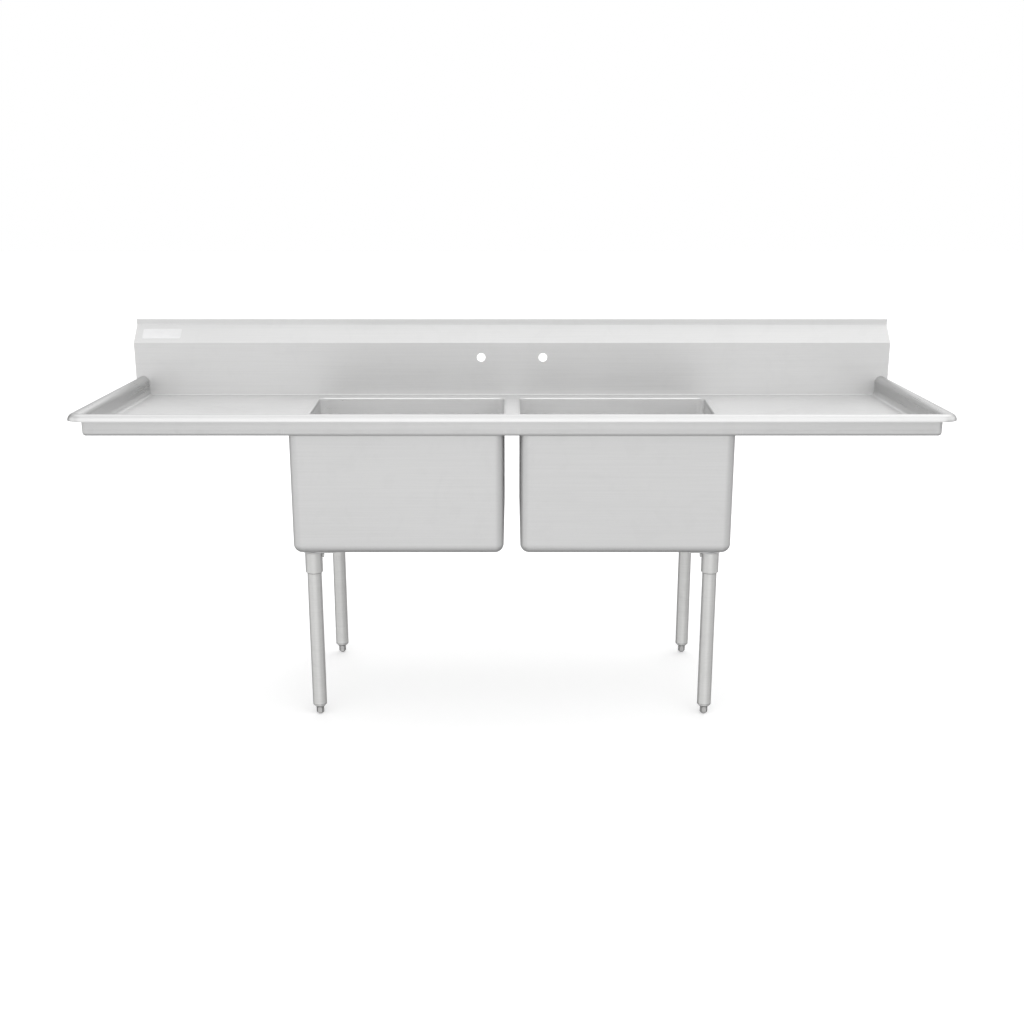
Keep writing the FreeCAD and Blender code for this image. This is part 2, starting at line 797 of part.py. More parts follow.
def build_socket(name):
    """Tube that holds the leg, its lower edge bevelled, with a hole for the set screw."""
    body = new_body(f"Socket_{name}")
    section = new_sketch(body, f"SocketSection_{name}", "XZ_Plane")
    draw_outline(section, [
        ("socket_bore / 2", "0"),
        ("socket_diameter / 2", "0"),
        ("socket_diameter / 2", "socket_bevel - socket_length"),
        ("socket_diameter / 2 - socket_bevel", "-socket_length"),
        ("socket_bore / 2", "-socket_length"),
    ])
    revolve(body, section)
    hole = new_sketch(body, f"ScrewHole_{name}", "YZ_Plane")
    draw_circle(hole, "0", "-screw_drop", "screw_diameter + thread_gap")
    extrude(body, "Pocket", hole, "socket_diameter", reverse=True)
    return body


def build_insert(name):
    """Threaded insert pressed into the leg's lower end and tapered below it, its foot at z = 0."""
    body = new_body(f"Insert_{name}")
    section = new_sketch(body, f"InsertSection_{name}", "XZ_Plane")
    bore = "stem_diameter / 2 + stem_clearance"
    plug = "leg_diameter / 2 - leg_wall - touch_gap"
    flange = "leg_diameter / 2 - bore_gap"
    draw_outline(section, [
        (bore, "0"),
        ("leg_diameter / 2 - insert_taper", "0"),
        (flange, "insert_flange - insert_edge"),
        (flange, "insert_flange"),
        (plug, "insert_flange"),
        (plug, "insert_flange + insert_height"),
        (bore, "insert_flange + insert_height"),
    ])
    revolve(body, section)
    return body


def build_foot(name):
    """Screw foot: a hexagon for the spanner, bevelled to its pad at z = 0, and a stem."""
    hexagon = doc.addObject("Part::Prism", f"FootHexagon_{name}")
    hexagon.Polygon = 6
    bind(hexagon, Circumradius="foot_across_flats / 2 / cos(30)",
         Height="leg_bottom - insert_flange - foot_gap")
    stem = rod(f"FootStem_{name}", "stem_diameter", "0", "stem_length")
    whole = boolean("Fuse", f"FootBlank_{name}", hexagon, stem)
    envelope = doc.addObject("Part::Cone", f"FootBevel_{name}")
    bind(envelope, Radius1="foot_pad", Radius2="foot_pad + 2 * stem_length",
         Height="2 * stem_length")
    return boolean("Common", f"Foot_{name}", whole, envelope)


def build_set_screw(name, x, y, turn):
    """Hexagon-head screw through the socket's inward side, up against the leg."""
    shank = rod(f"Shank_{name}", "screw_diameter", "0", "screw_shank")
    head = doc.addObject("Part::Prism", f"Head_{name}")
    head.Polygon = 6
    bind(head, Circumradius="screw_head / 2 / cos(30)", Height="screw_head_height")
    head.setExpression("Placement.Base.z", linked("screw_shank"))
    screw = boolean("Fuse", f"SetScrew_{name}", shank, head)
    outward = Rotation(Vector(0, 0, 1), turn) * Rotation(Vector(0, 1, 0), 90)
    screw.Placement = FreeCAD.Placement(Vector(), outward)
    reach = "leg_diameter / 2 + touch_gap"
    side = "+" if turn == 0 else "-"
    screw.setExpression("Placement.Base.x", linked(f"{x} {side} ({reach})"))
    screw.setExpression("Placement.Base.y", linked(y))
    screw.setExpression("Placement.Base.z", linked("gusset_z - screw_drop"))
    return screw


def build_legs():
    screws = []
    for name, (x, y, turn) in LEGS.items():
        about_leg = Rotation(Vector(0, 0, 1), turn)
        # The socket's screw always points along X, towards the middle of the sink.
        screw_turn = 0 if "left" in name else 180
        inward = Rotation(Vector(0, 0, 1), screw_turn)
        finish(build_gusset(name), f"leg_gusset_{name}", x, y, "gusset_z", about_leg)
        finish(build_socket(name), f"leg_socket_{name}", x, y, "gusset_z", inward)
        tube = pipe(f"LegTube_{name}", "leg_diameter", "leg_diameter - 2 * leg_wall", "0",
                    "gusset_z - leg_bottom - leg_top_gap")
        finish(tube, f"leg_{name}", x, y, "leg_bottom")
        finish(build_insert(name), f"foot_insert_{name}", x, y, "leg_bottom - insert_flange")
        finish(build_foot(name), f"foot_{name}", x, y, "0")
        screws.append(build_set_screw(name, x, y, screw_turn))
    group = doc.addObject("Part::Compound", "SetScrews")
    group.Links = screws
    finish(group, "leg_set_screws")


# Drains, built about the drain's axis with z = 0 at the floor of the bowl's recess

def build_drain_body(side):
    """Flange that sits in the bowl's recess, the cup under it, and the threaded spigot."""
    cup = "drain_cup / 2"
    spigot = "drain_spigot / 2"
    spigot_end = "-drain_cup_depth - drain_spigot_length"
    neck = "drain_hole / 2 - bore_gap"
    return revolved(f"DrainBody_{side}", [
        ("drain_flange / 2", "0"),
        ("drain_flange / 2", "drain_edge"),
        ("basket_rim / 2 + drain_edge", "drain_edge"),
        (f"{cup} - drain_wall", "-drain_seat_depth"),
        (f"{cup} - drain_wall", "drain_cup_slope - drain_cup_depth"),
        (f"{spigot} - spigot_wall", "drain_wall - drain_cup_depth"),
        (f"{spigot} - spigot_wall", spigot_end),
        (spigot, spigot_end),
        (spigot, "-drain_cup_depth"),
        (cup, "drain_cup_slope - drain_cup_depth - drain_wall"),
        (cup, "-drain_wall - drain_shoulder"),
        (neck, "-drain_wall"),
        (neck, "0"),
    ])


def build_locknut(side):
    """Ring with lugs that pulls the drain body down on the gasket."""
    body = new_body(f"Locknut_{side}")
    plan = new_sketch(body, f"LocknutPlan_{side}", "XY_Plane")
    draw_circle(plan, "0", "0", "locknut_diameter - 2 * lug_depth")
    extrude(body, "Pad", plan, "locknut_height")
    lug = new_sketch(body, f"LocknutLug_{side}", "XY_Plane")
    draw_rectangle(lug, "locknut_diameter / 2 - 2 * lug_depth", "-lug_width / 2",
                   "locknut_diameter / 2", "lug_width / 2")
    pad = extrude(body, "Pad", lug, "locknut_height")
    pattern(body, pad, plan, LOCKNUT_LUGS)
    bore = new_sketch(body, f"LocknutBore_{side}", "XY_Plane")
    draw_circle(bore, "0", "0", "drain_cup + 2 * thread_gap")
    extrude(body, "Pocket", bore, "locknut_height", reverse=True)
    return body


def build_slip_nut(side):
    """Coupling nut: threaded over the spigot, its lip under the tailpiece's flange."""
    lip_bore = "tailpiece_diameter / 2 + bore_gap"
    thread = "drain_spigot / 2 + bore_gap"
    body = revolved(f"SlipNut_{side}", [
        (lip_bore, "0"),
        ("slip_nut_diameter / 2 - slip_nut_chamfer", "0"),
        ("slip_nut_diameter / 2", "slip_nut_lip"),
        ("slip_nut_diameter / 2", "slip_nut_height"),
        (thread, "slip_nut_height"),
        (thread, "slip_nut_lip"),
        (lip_bore, "slip_nut_lip"),
    ])
    grip = new_sketch(body, f"SlipNutGrip_{side}", "XY_Plane", "slip_nut_height")
    draw_circle(grip, "(slip_nut_diameter + slip_nut_chamfer) / 2", "0", "grip_diameter")
    notch = extrude(body, "Pocket", grip, "slip_nut_height - slip_nut_lip - overcut")
    pattern(body, notch, grip, SLIP_NUT_GRIPS)
    return body


def build_tailpiece(side):
    """Flanged waste tube. It is a little narrower in the slip nut than where the trap fits it."""
    bore = "tailpiece_diameter / 2 - tailpiece_wall"
    flange = "drain_spigot / 2 - bore_gap"
    neck = "tailpiece_diameter / 2 - thread_gap"
    neck_end = "-tailpiece_flange - tailpiece_neck"
    return revolved(f"Tailpiece_{side}", [
        (bore, "0"),
        (flange, "0"),
        (flange, "-tailpiece_flange"),
        (neck, "-tailpiece_flange"),
        (neck, neck_end),
        ("tailpiece_diameter / 2", neck_end),
        ("tailpiece_diameter / 2", "-tailpiece_length"),
        (bore, "-tailpiece_length"),
    ])


def build_basket(side):
    """Lift-out strainer: a perforated cup that hangs by its rim in the drain body's seat."""
    wall = "basket_diameter / 2"
    inner = f"{wall} - basket_wall"
    flare_z = "basket_depth - basket_flare"
    body = revolved(f"Basket_{side}", [
        ("0", "0"),
        (f"{wall} - basket_corner", "0"),
        (wall, "basket_corner"),
        (wall, flare_z),
        ("basket_rim / 2", "basket_depth"),
        ("basket_rim / 2 - basket_lip", "basket_depth + basket_lip / 2"),
        (inner, f"{flare_z} + basket_wall / 2"),
        (inner, "basket_corner + basket_wall / 2"),
        (f"{wall} - basket_corner - basket_wall / 2", "basket_wall"),
        ("0", "basket_wall"),
    ])
    for index, (count, reach) in enumerate(STRAINER_RINGS):
        hole = new_sketch(body, f"FloorHole_{side}_{index}", "XY_Plane", "basket_wall + overcut")
        draw_circle(hole, f"{wall} * {reach}", "0", "basket_hole")
        pocket = extrude(body, "Pocket", hole, "basket_wall + 2 * overcut")
        pattern(body, pocket, hole, count)
    slot = new_sketch(body, f"WallSlot_{side}", "XZ_Plane")
    draw_rectangle(slot, "-slot_width / 2", "slot_margin", "slot_width / 2",
                   "basket_depth - slot_margin")
    pocket = extrude(body, "Pocket", slot, "basket_diameter")
    pattern(body, pocket, new_sketch(body, f"WallAxis_{side}", "XY_Plane"), STRAINER_SLOTS)
    return body


def build_knob(side):
    """Pull knob on a stem, standing on the basket's floor."""
    stem_top = "basket_depth + knob_rise"
    return revolved(f"Knob_{side}", [
        ("0", "basket_wall"),
        ("knob_stem / 2", "basket_wall"),
        ("knob_stem / 2", stem_top),
        ("knob_diameter / 2", f"{stem_top} + knob_edge"),
        ("knob_diameter / 2", f"{stem_top} + 2 * knob_edge"),
        ("knob_diameter / 2 - knob_edge", f"{stem_top} + 3 * knob_edge"),
        ("0", f"{stem_top} + 3 * knob_edge"),
    ])


def build_stopper(side):
    """Rubber disc under the basket's floor."""
    return revolved(f"Stopper_{side}", [
        ("0", "-stopper_thickness"),
        ("stopper_diameter / 2 - stopper_thickness", "-stopper_thickness"),
        ("stopper_diameter / 2", "0"),
        ("0", "0"),
    ])


def build_drain(side, x):
    """All of one drain, under the bowl whose middle is at x."""
    def finish_here(piece, label, z):
        finish(piece, f"{label}_{side}", x, "bowl_y", z)

    finish_here(build_drain_body(side), "drain_body", "recess_floor")

    gasket = pipe(f"Gasket_{side}", "gasket_diameter", "drain_hole + 2 * thread_gap", "0",
                  "gasket_thickness")
    washer = pipe(f"Washer_{side}", "washer_diameter", "drain_cup + 2 * bore_gap", "0",
                  "washer_thickness")
    gasket_z = "recess_under - gasket_thickness"
    washer_z = f"{gasket_z} - washer_thickness"
    finish_here(gasket, "drain_gasket", gasket_z)
    finish_here(washer, "drain_friction_washer", washer_z)
    finish_here(build_locknut(side), "drain_locknut", f"{washer_z} - locknut_height")

    tail_washer = pipe(f"TailWasher_{side}", "drain_spigot - 2 * bore_gap",
                       "tailpiece_diameter - 2 * tailpiece_wall", "0", "tailpiece_flange")
    finish_here(tail_washer, "drain_tail_washer", "tailpiece_top")
    finish_here(build_tailpiece(side), "drain_tailpiece", "tailpiece_top")
    finish_here(build_slip_nut(side), "drain_slip_nut",
                "tailpiece_top - tailpiece_flange - slip_nut_lip")

    basket_z = "recess_floor - basket_depth"
    finish_here(build_basket(side), "strainer_basket", basket_z)
    finish_here(build_knob(side), "strainer_knob", basket_z)
    finish_here(build_stopper(side), "strainer_stopper", basket_z)


# The whole sink, checked and written

def check_document():
    """Stops on any object that failed to recompute or any sub-part without a valid solid."""
    for item in doc.Objects:
        if "Invalid" in item.State or "Error" in item.State:
            raise SystemExit(f"{item.Name} did not recompute: {item.State}")
    for part in parts:
        if part.Shape.isNull() or not part.Shape.isValid() or not part.Shape.Solids:
            raise SystemExit(f"{part.Label} has no valid solid")


build_backsplash()
build_label_plate()
bowl = build_bowl()
build_centre_bridge()
drainboard = build_drainboard()
channel = build_drainboard_channel()
side_rim, rim_corner = build_rims()
doc.recompute()
mirrored(bowl, "left_bowl")
mirrored(drainboard, "left_drainboard")
mirrored(channel, "left_drainboard_channel")
mirrored(side_rim, "left_rim")
mirrored(rim_corner, "left_rim_corner")
build_legs()
build_drain("left", "-bowl_x")
build_drain("right", "bowl_x")

doc.recompute()
check_document()
os.makedirs("parts", exist_ok=True)
for part in parts:
    part.Shape.exportStep(f"parts/{part.Label}.step")
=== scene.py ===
import json
import math

import bmesh
import bpy
from mathutils import Matrix, Vector


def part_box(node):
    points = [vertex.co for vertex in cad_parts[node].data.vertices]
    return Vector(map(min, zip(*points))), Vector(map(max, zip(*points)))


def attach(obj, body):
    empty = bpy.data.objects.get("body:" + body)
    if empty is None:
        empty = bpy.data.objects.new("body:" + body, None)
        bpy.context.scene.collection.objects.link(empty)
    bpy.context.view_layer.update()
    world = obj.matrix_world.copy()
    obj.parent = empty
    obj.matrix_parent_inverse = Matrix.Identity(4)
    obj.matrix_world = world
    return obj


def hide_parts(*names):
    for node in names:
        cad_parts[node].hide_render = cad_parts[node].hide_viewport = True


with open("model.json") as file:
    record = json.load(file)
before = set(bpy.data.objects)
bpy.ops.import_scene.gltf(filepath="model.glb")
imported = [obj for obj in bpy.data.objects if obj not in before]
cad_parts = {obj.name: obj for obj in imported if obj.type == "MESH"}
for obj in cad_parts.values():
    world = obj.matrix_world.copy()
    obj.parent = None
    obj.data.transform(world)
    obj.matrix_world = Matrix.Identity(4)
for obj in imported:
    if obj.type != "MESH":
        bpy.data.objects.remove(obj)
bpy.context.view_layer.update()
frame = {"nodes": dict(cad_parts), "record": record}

# Looks of a two compartment sink with two drainboards: brushed stainless sheet, ground weld
# seams, tube legs on screw feet and lift-out strainers. Lengths are in metres. Places come from
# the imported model's boxes, and a few sizes that no box gives are repeated from the CAD. The lights
# and the steel's tones were tuned to match the photo from the front.

MM = 0.001
nodes = frame["nodes"]
scene = bpy.context.scene
slot_of = {part["node"]: part["material_slot"] for part in frame["record"]["subparts"]}
LEGS = ("front_left", "front_right", "rear_left", "rear_right")
SIDES = ("left", "right")


# Camera, floor and light

def add_camera():
    """Eye level camera in front of the sink, tilted a little down."""
    lens = bpy.data.cameras.new("Camera")
    lens.lens = 43.36
    lens.sensor_width = 36
    lens.clip_end = 200
    camera = bpy.data.objects.new("Camera", lens)
    camera.location = (0, -3.73445, 1.5456)
    camera.rotation_euler = (math.radians(75.03), 0, 0)
    scene.collection.objects.link(camera)
    scene.camera = camera


# Round soft lights far away: azimuth from the front and elevation in degrees, and strength.
LIGHT_SPREAD = math.radians(55)
SOFT_LIGHTS = (
    (0, 35, 1.47),
    (180, 65, 1.09),
    (180, -15, 0.5),
    (-70, 0, 0.72),
    (70, 0, 0.46),
    (90, 45, 0.78),
    (180, 15, 0.55),
    (0, -45, 0.46),
    (135, 20, 0.38),
    (-90, 45, 0.45),
    (-90, 0, 0.29),
    (90, 0, 0.21),
    (0, -90, 0.15),
    (0, -15, 0.46),
)


def add_studio():
    """Soft lights all round, the strongest high in front and high behind."""
    world = bpy.data.worlds.new("Studio")
    world.use_nodes = True
    tree = world.node_tree
    direction = node(tree, "ShaderNodeTexCoord").outputs["Generated"]
    light = 0.0
    for azimuth, elevation, strength in SOFT_LIGHTS:
        around = math.radians(azimuth)
        up = math.radians(elevation)
        towards = (math.sin(around) * math.cos(up), -math.cos(around) * math.cos(up), math.sin(up))
        nearness = node(tree, "ShaderNodeVectorMath", {0: direction, 1: towards},
                        operation="DOT_PRODUCT").outputs["Value"]
        lamp = ramp(tree, nearness, math.cos(LIGHT_SPREAD), 1.0, strength)
        light = calculate(tree, "ADD", lamp, light)
    tree.links.new(light, tree.nodes["Background"].inputs["Strength"])
    tree.nodes["Background"].inputs["Color"].default_value = (1, 1, 1, 1)
    scene.world = world
    scene.view_settings.view_transform = "Standard"


def add_stage_piece(name, build, material):
    """A surface that the camera sees, and that throws nothing back on the sink."""
    mesh = bpy.data.meshes.new(name)
    build.to_mesh(mesh)
    build.free()
    mesh.materials.append(material)
    piece = bpy.data.objects.new(name, mesh)
    scene.collection.objects.link(piece)
    piece.visible_diffuse = False
    piece.visible_glossy = False
    piece.visible_transmission = False
    piece.visible_shadow = False


def add_floor():
    """Pale paper floor. Seen from below it is clear, so the sink's underside shows."""
    material, tree, shader = new_material("FloorPaper")
    fibres = noise(tree, object_point(tree), (40, 40, 40), 4)
    tree.links.new(mixed(tree, 0.9, (fibres, 0.02)), shader.inputs["Roughness"])
    shader.inputs["Base Color"].default_value = (0.9, 0.9, 0.9, 1)
    shader.inputs["Emission Color"].default_value = (1, 1, 1, 1)
    shader.inputs["Emission Strength"].default_value = 0.22
    clear = node(tree, "ShaderNodeBsdfTransparent")
    below = node(tree, "ShaderNodeNewGeometry").outputs["Backfacing"]
    both = node(tree, "ShaderNodeMixShader", {
        0: below, 1: shader.outputs["BSDF"], 2: clear.outputs["BSDF"]})
    tree.links.new(both.outputs["Shader"], tree.nodes["Material Output"].inputs["Surface"])
    build = bmesh.new()
    bmesh.ops.create_grid(build, x_segments=8, y_segments=8, size=25)
    add_stage_piece("Floor", build, material)


def add_backdrop():
    """White sky far behind everything."""
    material, tree, shader = new_material("BackdropWhite")
    shader.inputs["Base Color"].default_value = (0, 0, 0, 1)
    shader.inputs["Specular IOR Level"].default_value = 0
    shader.inputs["Emission Color"].default_value = (1, 1, 1, 1)
    shader.inputs["Emission Strength"].default_value = 1
    build = bmesh.new()
    bmesh.ops.create_icosphere(build, subdivisions=4, radius=40)
    bmesh.ops.reverse_faces(build, faces=build.faces)
    add_stage_piece("Backdrop", build, material)


# Shader building

def node(tree, kind, inputs=None, **settings):
    """Adds a node. Inputs are values, or outputs of other nodes."""
    made = tree.nodes.new(kind)
    for name, setting in settings.items():
        setattr(made, name, setting)
    for socket, given in (inputs or {}).items():
        if isinstance(given, bpy.types.NodeSocket):
            tree.links.new(given, made.inputs[socket])
        else:
            made.inputs[socket].default_value = given
    return made


def new_material(name):
    material = bpy.data.materials.new(name)
    material.use_nodes = True
    return material, material.node_tree, material.node_tree.nodes["Principled BSDF"]


def object_point(tree):
    return node(tree, "ShaderNodeTexCoord").outputs["Object"]


def calculate(tree, operation, *numbers):
    return node(tree, "ShaderNodeMath", dict(enumerate(numbers)),
                operation=operation).outputs["Value"]


def ramp(tree, number, start, full, height=1.0):
    """Rises smoothly from 0 at start to its height at full, and stays there."""
    return node(tree, "ShaderNodeMapRange", {
        "Value": number, "From Min": start, "From Max": full, "To Min": 0.0, "To Max": height,
    }, interpolation_type="SMOOTHSTEP").outputs["Result"]


def noise(tree, point, waves, detail=2.0, roughness=0.5, distortion=0.0, turn=0.0):
    """Noise from -0.5 to 0.5, with that many waves a metre along X, Y and Z, turned about Z."""
    turned_point = node(tree, "ShaderNodeMapping", {
        "Vector": point, "Rotation": (0, 0, turn)}).outputs["Vector"]
    scaled = node(tree, "ShaderNodeVectorMath", {0: turned_point, 1: waves},
                  operation="MULTIPLY").outputs["Vector"]
    texture = node(tree, "ShaderNodeTexNoise", {
        "Vector": scaled, "Scale": 1.0, "Detail": detail, "Roughness": roughness,
        "Distortion": distortion})
    return node(tree, "ShaderNodeMapRange", {
        "Value": texture.outputs["Fac"], "From Min": 0.25, "From Max": 0.75,
        "To Min": -0.5, "To Max": 0.5}, interpolation_type="SMOOTHSTEP").outputs["Result"]


def mixed(tree, number, *layers):
    """Adds layers to a number. A layer is a pattern and how much of it is added."""
    for pattern, amount in layers:
        number = calculate(tree, "MULTIPLY_ADD", pattern, amount, number)
    return number


def coloured(tree, brightness, colour):
    return node(tree, "ShaderNodeVectorMath", {0: colour, "Scale": brightness},
                operation="SCALE").outputs["Vector"]


def raise_surface(tree, shader, *layers):
    """Bumps. A layer is a pattern and its height in metres."""
    height = mixed(tree, 0.0, *layers)
    bump = node(tree, "ShaderNodeBump", {"Height": height, "Distance": 1.0, "Strength": 1.0})
    tree.links.new(bump.outputs["Normal"], shader.inputs["Normal"])


# Patterns: noises swing about 0, and masks go from 0 to 1

GRAIN_LENGTH = 3
GRAIN_WIDTH = 240
GRAIN_WAVES = {
    "x": (GRAIN_LENGTH, GRAIN_WIDTH, GRAIN_WIDTH),
    "y": (GRAIN_WIDTH, GRAIN_LENGTH, GRAIN_WIDTH),
    "rings": (GRAIN_LENGTH, GRAIN_LENGTH, GRAIN_WIDTH),
}


def grain(tree, point, along):
    """Fine lines of a brushed finish. A sheet's lie along X, and along Y where it faces sideways."""
    if along != "sheet":
        return noise(tree, point, GRAIN_WAVES[along], 5, 0.7)
    normal = node(tree, "ShaderNodeNewGeometry").outputs["Normal"]
    facing = node(tree, "ShaderNodeSeparateXYZ", {"Vector": normal}).outputs["X"]
    sideways = ramp(tree, calculate(tree, "ABSOLUTE", facing), 0.55, 0.8)
    along_y = calculate(tree, "MULTIPLY", grain(tree, point, "y"), sideways)
    ahead = calculate(tree, "SUBTRACT", 1.0, sideways)
    return calculate(tree, "MULTIPLY_ADD", grain(tree, point, "x"), ahead, along_y)


def scratches(tree, point):
    """Sparse thin lines at two slants, like those that pots and cleaning leave."""
    first = noise(tree, point, (7, 500, 500), 2, 0.5, 0, math.radians(24))
    second = noise(tree, point, (6, 420, 420), 2, 0.5, 0, math.radians(-37))
    both = calculate(tree, "MAXIMUM", first, second)
    return ramp(tree, both, 0.36, 0.49)


def smudges(tree, point):
    """Faint hand and water marks."""
    return ramp(tree, noise(tree, point, (11, 11, 11), 5, 0.6, 1.5), 0.05, 0.4)


def distance_to_seam(tree, point):
    """How far a point's X is from the nearest welded joint of the deck."""
    across = node(tree, "ShaderNodeSeparateXYZ", {"Vector": point}).outputs["X"]
    across = calculate(tree, "ABSOLUTE", across)
    gaps = []
    for seam in (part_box("centre_bridge")[1].x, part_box("right_bowl")[1].x):
        gap = calculate(tree, "SUBTRACT", across, seam)
        gaps.append(calculate(tree, "ABSOLUTE", gap))
    return calculate(tree, "MINIMUM", *gaps)


def ground_band(tree, point):
    """The strip over each welded joint that is ground smooth."""
    return ramp(tree, distance_to_seam(tree, point), 6 * MM, 2 * MM)


def joint_of_seam(tree, point):
    """The fine line left in the middle of the ground strip."""
    return ramp(tree, distance_to_seam(tree, point), 0.9 * MM, 0.2 * MM)


# Inner sizes of a bowl, its sheet's thickness, and how far the drain's recess hangs below its floor.
BOWL_HALF_WIDTH = 301.5 * MM
BOWL_HALF_LENGTH = 305 * MM
BOWL_CORNER = 25.5 * MM
SHEET_THICKNESS = 1.5 * MM
DRAIN_RECESS = 3 * MM


def inside_bowls(tree, point):
    """1 on the inner surfaces of both bowls, 0 on their outer ones. It lightens them as painted light
    and makes them smoother.
    """
    middle = centre("drain_body_right")
    low_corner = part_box("right_bowl")[0].z + DRAIN_RECESS + SHEET_THICKNESS + BOWL_CORNER
    axes = node(tree, "ShaderNodeSeparateXYZ", {"Vector": point})
    across = calculate(tree, "ABSOLUTE", axes.outputs["X"])
    across = calculate(tree, "ABSOLUTE", calculate(tree, "SUBTRACT", across, middle.x))
    along = calculate(tree, "ABSOLUTE", calculate(tree, "SUBTRACT", axes.outputs["Y"], middle.y))
    past = node(tree, "ShaderNodeCombineXYZ", {
        "X": calculate(tree, "SUBTRACT", across, BOWL_HALF_WIDTH - BOWL_CORNER),
        "Y": calculate(tree, "SUBTRACT", along, BOWL_HALF_LENGTH - BOWL_CORNER),
        "Z": calculate(tree, "SUBTRACT", low_corner, axes.outputs["Z"]),
    }).outputs["Vector"]
    past = node(tree, "ShaderNodeVectorMath", {0: past, 1: (0, 0, 0)},
                operation="MAXIMUM").outputs["Vector"]
    radius = node(tree, "ShaderNodeVectorMath", {0: past}, operation="LENGTH").outputs["Value"]
    return ramp(tree, radius, BOWL_CORNER + 0.7 * SHEET_THICKNESS, BOWL_CORNER + 0.3 * SHEET_THICKNESS)


def painted_top_light(tree, point):
    """1 where a sheet faces up, for painted light: flat steel is lighter in the photo than these
    lights make it.
    """
    normal = node(tree, "ShaderNodeNewGeometry").outputs["Normal"]
    up = node(tree, "ShaderNodeSeparateXYZ", {"Vector": normal}).outputs["Z"]
    return ramp(tree, up, 0.2, 0.95)


def painted_gap_shade(tree, point, *heights):
    """1 on thin lines round a leg at these heights, for painted shade: the dark line where two parts
    meet.
    """
    z = node(tree, "ShaderNodeSeparateXYZ", {"Vector": point}).outputs["Z"]
    nearest = 1.0
    for height in heights:
        gap = calculate(tree, "ABSOLUTE", calculate(tree, "SUBTRACT", z, height))
        nearest = calculate(tree, "MINIMUM", gap, nearest)
    return ramp(tree, nearest, 2.4 * MM, 0.8 * MM)


def drain_rings(tree, point):
    """Fine circles round each drain's axis, left by the lathe."""
    middle = centre("drain_body_right")
    axes = node(tree, "ShaderNodeSeparateXYZ", {"Vector": point})
    across = calculate(tree, "SUBTRACT", calculate(tree, "ABSOLUTE", axes.outputs["X"]), middle.x)
    along = calculate(tree, "SUBTRACT", axes.outputs["Y"], middle.y)
    squared = calculate(tree, "MULTIPLY_ADD", across, across,
                        calculate(tree, "MULTIPLY", along, along))
    radius = calculate(tree, "SQRT", squared)
    reach = node(tree, "ShaderNodeCombineXYZ", {"X": radius, "Z": axes.outputs["Z"]})
    return noise(tree, reach.outputs["Vector"], (900, 1, 300), 3, 0.6)


# Materials

STEEL_METALLIC = 0.6
STEEL_TINT = (0.6, 0.6, 0.6, 1)
SHEET_TONE = 0.645
SHEET_ROUGHNESS = 0.46
WAVES_OF_SHEET = (1.6, 1.6, 1.6)


def set_steel(shader, metallic=STEEL_METALLIC):
    shader.inputs["Metallic"].default_value = metallic
    shader.inputs["Specular Tint"].default_value = STEEL_TINT


def brushed_sheet(name, along="sheet", tone=SHEET_TONE, roughness=SHEET_ROUGHNESS, wear=1.0,
                  metallic=STEEL_METALLIC, depth=0.035 * MM, tones=(), polish=(), relief=()):
    """Brushed sheet: grain, soft clouds, a few scratches, faint marks, and any layers given."""
    material, tree, shader = new_material(name)
    set_steel(shader, metallic)
    point = object_point(tree)
    lines = grain(tree, point, along)
    clouds = noise(tree, point, (2.5, 2.5, 2.5), 3)
    marks = smudges(tree, point)
    cuts = scratches(tree, point)
    masks = {"inside": inside_bowls, "ground": ground_band, "joint": joint_of_seam,
             "painted_top_light": painted_top_light}

    def extra(layers):
        return [(masks[mask](tree, point), amount) for mask, amount in layers]

    brightness = mixed(tree, tone, (lines, 0.035), (clouds, 0.02), (marks, -0.012 * wear),
                       (cuts, 0.03 * wear), *extra(tones))
    tree.links.new(coloured(tree, brightness, (1, 1, 0.998)), shader.inputs["Base Color"])
    gloss = mixed(tree, roughness, (lines, 0.06), (clouds, 0.05), (marks, 0.05 * wear),
                  (cuts, 0.05 * wear), *extra(polish))
    tree.links.new(gloss, shader.inputs["Roughness"])
    flatness = noise(tree, point, WAVES_OF_SHEET, 1)
    raise_surface(tree, shader, (lines, depth), (cuts, -0.5 * depth * wear), (flatness, 0.9 * MM),
                  *extra(relief))
    return material


def tube_steel(name, colour, tone, roughness):
    """Drawn tube, polished round and round, with long lines, and painted shade as a dark line at each
    joint.
    """
    material, tree, shader = new_material(name)
    set_steel(shader, 0.7)
    point = object_point(tree)
    rings = grain(tree, point, "rings")
    draw_lines = noise(tree, point, (300, 300, 4), 3)
    clouds = noise(tree, point, (9, 9, 3), 3)
    marks = smudges(tree, point)
    # Painted shade: a dark line round the leg where it enters its socket and at its lower end.
    socket_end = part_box("leg_socket_front_left")[0].z
    tube_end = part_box("leg_front_left")[0].z
    gap_shade_lines = painted_gap_shade(tree, point, socket_end, tube_end)
    brightness = mixed(tree, tone, (rings, 0.05), (draw_lines, 0.02), (clouds, 0.03),
                       (marks, -0.02), (gap_shade_lines, -0.3))
    tree.links.new(coloured(tree, brightness, colour), shader.inputs["Base Color"])
    gloss = mixed(tree, roughness, (rings, 0.12), (clouds, 0.05), (marks, 0.06))
    tree.links.new(gloss, shader.inputs["Roughness"])
    raise_surface(tree, shader, (rings, 0.03 * MM), (draw_lines, 0.01 * MM))
    return material


def cast_metal(name, colour, tone, roughness, grit, metallic=STEEL_METALLIC):
    """Satin casting: fine pits, soft clouds and faint rings."""
    material, tree, shader = new_material(name)
    set_steel(shader, metallic)
    point = object_point(tree)
    pits = noise(tree, point, (700, 700, 700), 4, 0.65)
    clouds = noise(tree, point, (22, 22, 22), 3)
    rings = grain(tree, point, "rings")
    brightness = mixed(tree, tone, (pits, 0.06), (clouds, 0.05), (rings, 0.02))
    tree.links.new(coloured(tree, brightness, colour), shader.inputs["Base Color"])
    polish = mixed(tree, roughness, (pits, 0.12), (clouds, 0.08))
    tree.links.new(polish, shader.inputs["Roughness"])
    raise_surface(tree, shader, (pits, grit))
    return material


